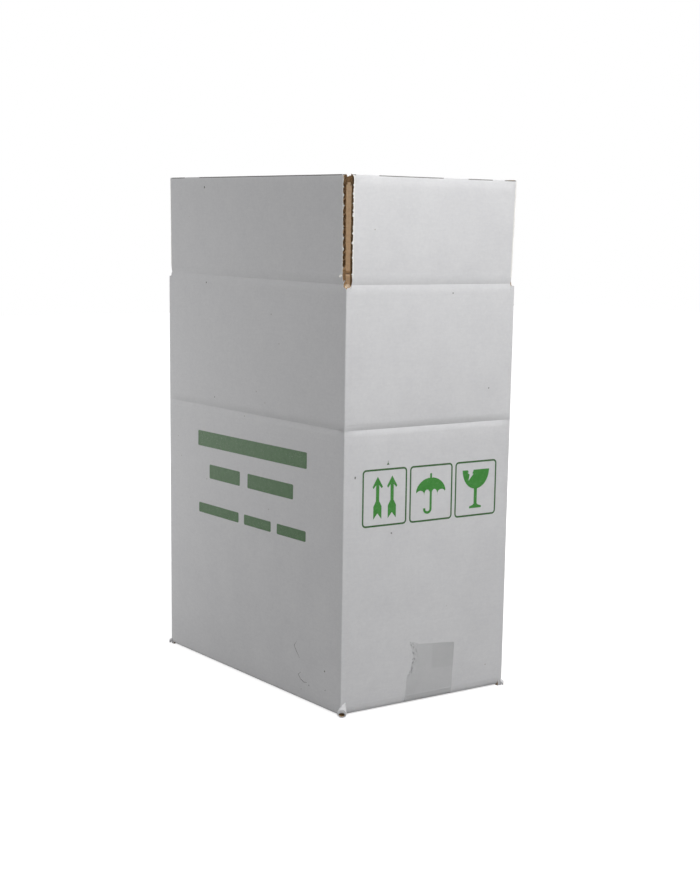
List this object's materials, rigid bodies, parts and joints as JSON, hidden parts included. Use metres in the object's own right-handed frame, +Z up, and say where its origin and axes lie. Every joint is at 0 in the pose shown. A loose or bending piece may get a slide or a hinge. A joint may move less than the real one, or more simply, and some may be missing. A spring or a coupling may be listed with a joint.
{
  "type": "corrugated shipping box",
  "caption": "Upright slotted shipping box in white-lined corrugated board with brown inside, taped bottom, a cut-down crease round the panels and hinged top flaps standing open.",
  "frame": {"origin": "on the floor, under the middle of the box", "axes": "+Z up, +X along the long panels towards the printed end panel, +Y along the end panels towards the back panel"},
  "size_m": [0.2718, 0.1648, 0.4101],
  "materials": {
    "white_lined_board": "matte white-top liner outside, brown kraft liner inside, brown raw edges",
    "clear_tape": "clear glossy film tape, slightly wrinkled"
  },
  "bodies": {
    "case": {"box_body": "white_lined_board", "sealing_tape": "clear_tape"},
    "front_flap": {"front_flap": "white_lined_board"},
    "back_flap": {"back_flap": "white_lined_board"},
    "right_flap": {"right_flap": "white_lined_board"},
    "left_flap": {"left_flap": "white_lined_board"}
  },
  "joints": [
    {"name": "front_fold", "type": "hinge", "parent": "case", "child": "front_flap", "pos_m": [0, -0.0808, 0.3316], "axis": [-1, 0, 0], "range_deg": [-134.7, 90.3]},
    {"name": "back_fold", "type": "hinge", "parent": "case", "child": "back_flap", "pos_m": [0, 0.0808, 0.3316], "axis": [1, 0, 0], "range_deg": [-134.7, 90.3]},
    {"name": "right_fold", "type": "hinge", "parent": "case", "child": "right_flap", "pos_m": [0.1318, 0, 0.3282], "axis": [0, -1, 0], "range_deg": [-133, 92]},
    {"name": "left_fold", "type": "hinge", "parent": "case", "child": "left_flap", "pos_m": [-0.1318, 0, 0.3282], "axis": [0, 1, 0], "range_deg": [-133, 92]}
  ]
}
